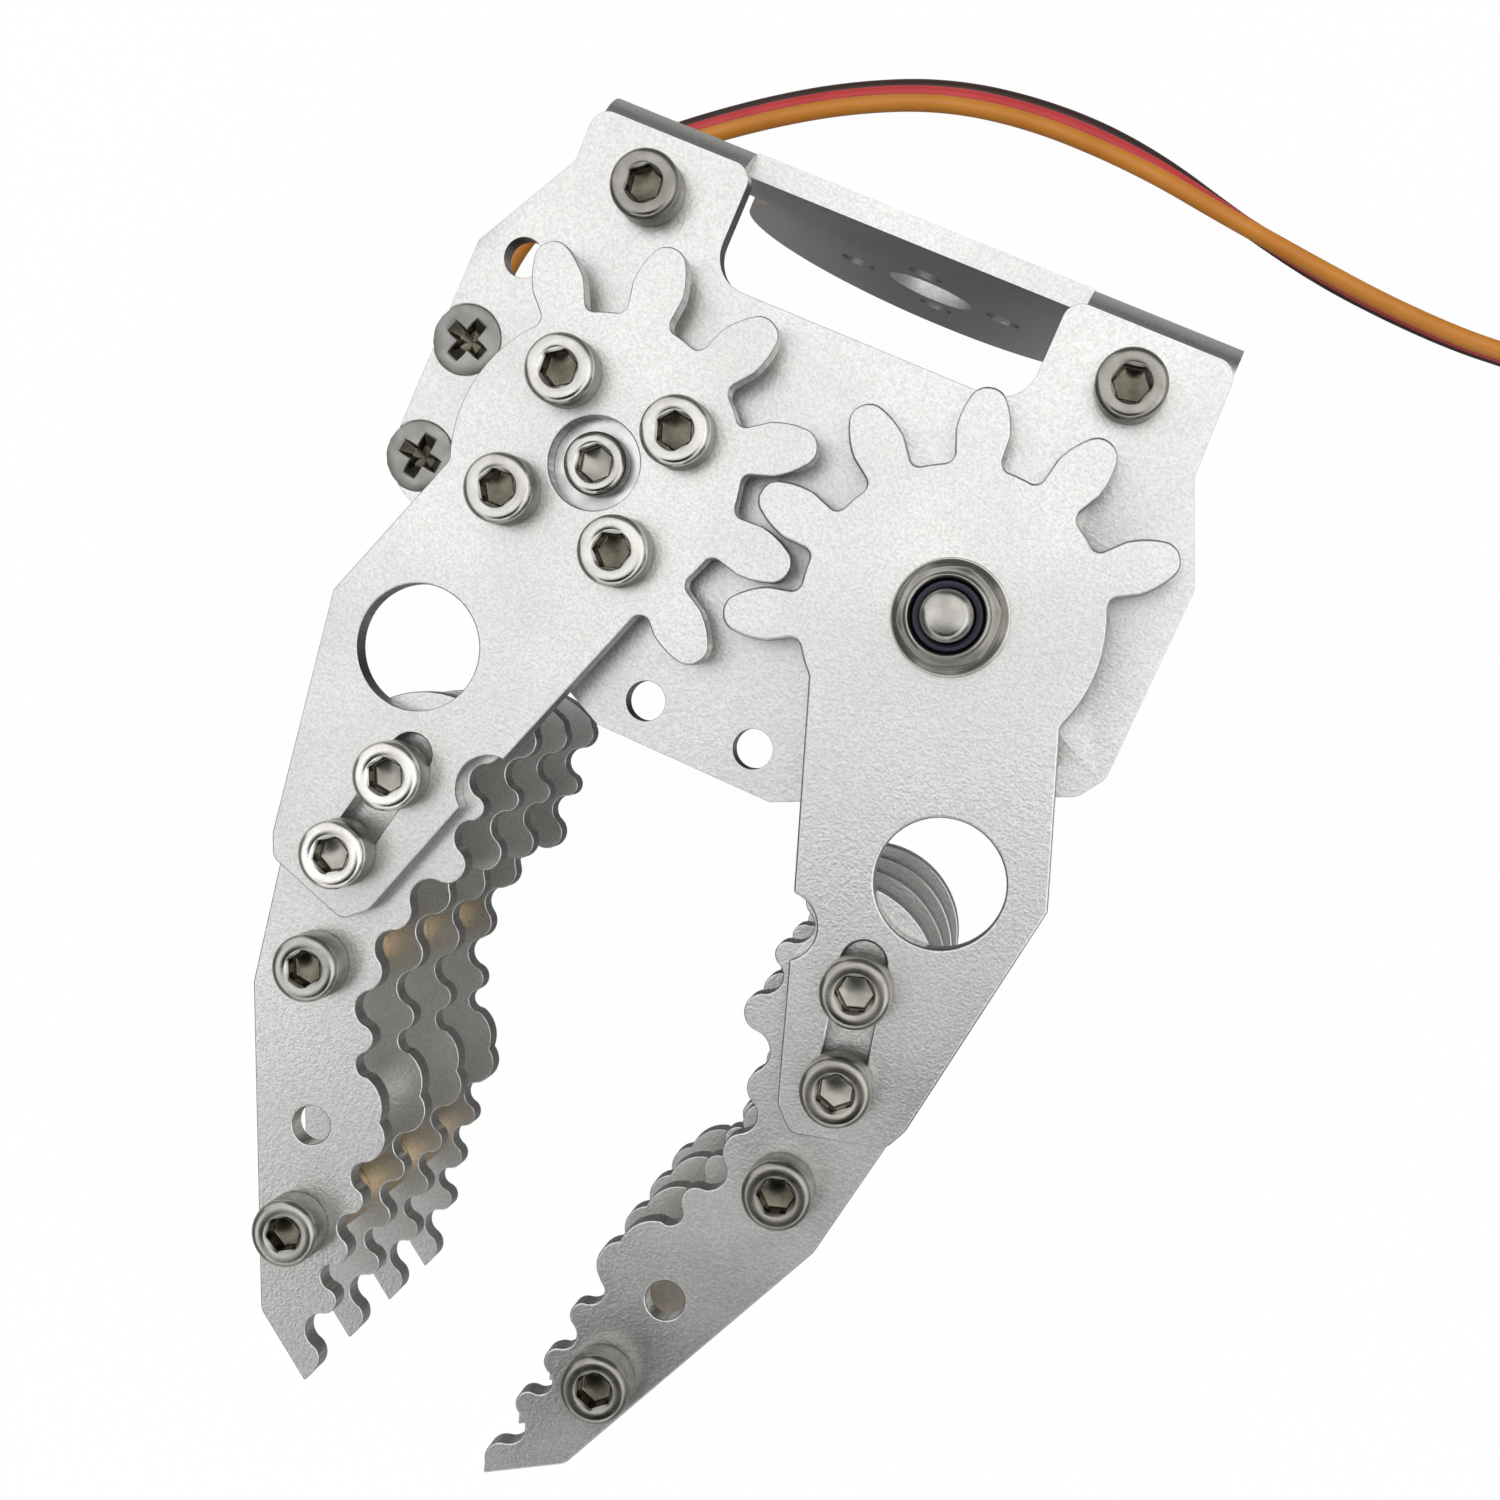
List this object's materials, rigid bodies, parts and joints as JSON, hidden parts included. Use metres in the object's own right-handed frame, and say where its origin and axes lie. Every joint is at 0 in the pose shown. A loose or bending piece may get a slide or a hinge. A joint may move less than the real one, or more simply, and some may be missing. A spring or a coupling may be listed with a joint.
{
  "type": "servo gripper",
  "caption": "Servo-driven robot gripper of flat metal plates, with meshed sector-gear arms that swing a stacked, scalloped finger on each side.",
  "frame": {"origin": "centre of the wrist flange's outer face", "axes": "+Y out of the wrist flange towards the robot, -Y towards the finger tips, +X across the two fingers, +Z square to the plates, away from the servo"},
  "size_m": [0.1356, 0.1582, 0.0532],
  "materials": {
    "aluminium_sheet": "sandblasted, silver anodised",
    "stainless_steel": "bright turned",
    "brass": "turned",
    "turned_aluminium": "turned",
    "black_plastic": "fine moulded texture",
    "blue_nylon": "satin",
    "motor_steel": "drawn can",
    "gear_steel": "machined",
    "board_green": "lacquered board",
    "lead_plastic": "soft cable covering"
  },
  "bodies": {
    "base": {"base_plate": "aluminium_sheet", "bracket_nuts": "stainless_steel", "bracket_screws": "stainless_steel", "pivot_bush": "brass", "pivot_lock_nut": "stainless_steel", "pivot_nut_insert": "blue_nylon", "pivot_screw": "stainless_steel", "pivot_washer": "stainless_steel", "servo_bearing": "stainless_steel", "servo_bottom_cover": "black_plastic", "servo_case": "black_plastic", "servo_case_screws": "stainless_steel", "servo_circuit_board": "board_green", "servo_gear_pin": "stainless_steel", "servo_lead": "lead_plastic", "servo_lead_coil": "lead_plastic", "servo_lead_grommet": "black_plastic", "servo_lead_plug": "black_plastic", "servo_motor": "motor_steel", "servo_mount_nuts": "stainless_steel", "servo_mount_screws": "stainless_steel", "servo_position_pot": "black_plastic", "servo_spacers": "brass", "servo_top_cover": "black_plastic", "wrist_bracket": "aluminium_sheet"},
    "left_finger": {"drive_arm": "aluminium_sheet", "horn_centre_screw": "stainless_steel", "horn_screws": "stainless_steel", "left_finger_nuts": "stainless_steel", "left_finger_plate_1": "aluminium_sheet", "left_finger_plate_2": "aluminium_sheet", "left_finger_plate_3": "aluminium_sheet", "left_finger_plate_4": "aluminium_sheet", "left_finger_screws": "stainless_steel", "left_finger_spacers": "brass", "left_slot_nuts": "stainless_steel", "left_slot_screws": "stainless_steel", "servo_horn": "turned_aluminium", "servo_output_shaft": "gear_steel"},
    "right_finger": {"driven_arm": "aluminium_sheet", "right_finger_nuts": "stainless_steel", "right_finger_plate_1": "aluminium_sheet", "right_finger_plate_2": "aluminium_sheet", "right_finger_plate_3": "aluminium_sheet", "right_finger_plate_4": "aluminium_sheet", "right_finger_screws": "stainless_steel", "right_finger_spacers": "brass", "right_slot_nuts": "stainless_steel", "right_slot_screws": "stainless_steel"},
    "first_gear": {"servo_first_gear": "gear_steel"},
    "second_gear": {"servo_second_gear": "gear_steel"},
    "third_gear": {"servo_third_gear": "gear_steel"},
    "motor_rotor": {"servo_motor_pinion": "gear_steel"}
  },
  "joints": [
    {"name": "left_finger_swing", "type": "hinge", "parent": "base", "child": "left_finger", "pos_m": [-0.015, -0.0278, 0.026], "axis": [0, 0, -1], "range_deg": [-5.5, 31]},
    {"name": "right_finger_swing", "type": "hinge", "parent": "base", "child": "right_finger", "pos_m": [0.015, -0.0278, 0.026], "axis": [0, 0, 1], "range_deg": [-5.5, 31]},
    {"name": "third_gear_turn", "type": "hinge", "parent": "base", "child": "third_gear", "pos_m": [-0.0053, -0.0278, 0.013], "axis": [0, 0, 1], "range_deg": [-16.5, 93]},
    {"name": "second_gear_turn", "type": "hinge", "parent": "base", "child": "second_gear", "pos_m": [-0.015, -0.0278, 0.012], "axis": [0, 0, -1], "range_deg": [-49.5, 279]},
    {"name": "first_gear_turn", "type": "hinge", "parent": "base", "child": "first_gear", "pos_m": [-0.0053, -0.0278, 0.0105], "axis": [0, 0, 1], "range_deg": [-148.5, 837]},
    {"name": "motor_turn", "type": "hinge", "parent": "base", "child": "motor_rotor", "pos_m": [0.0044, -0.0278, 0], "axis": [0, 0, -1], "range_deg": [-445.5, 2511]}
  ],
  "couplings": [
    {"joint": "right_finger_swing", "follows": "left_finger_swing", "ratio": 1},
    {"joint": "third_gear_turn", "follows": "left_finger_swing", "ratio": 3},
    {"joint": "second_gear_turn", "follows": "left_finger_swing", "ratio": 9},
    {"joint": "first_gear_turn", "follows": "left_finger_swing", "ratio": 27},
    {"joint": "motor_turn", "follows": "left_finger_swing", "ratio": 81}
  ]
}
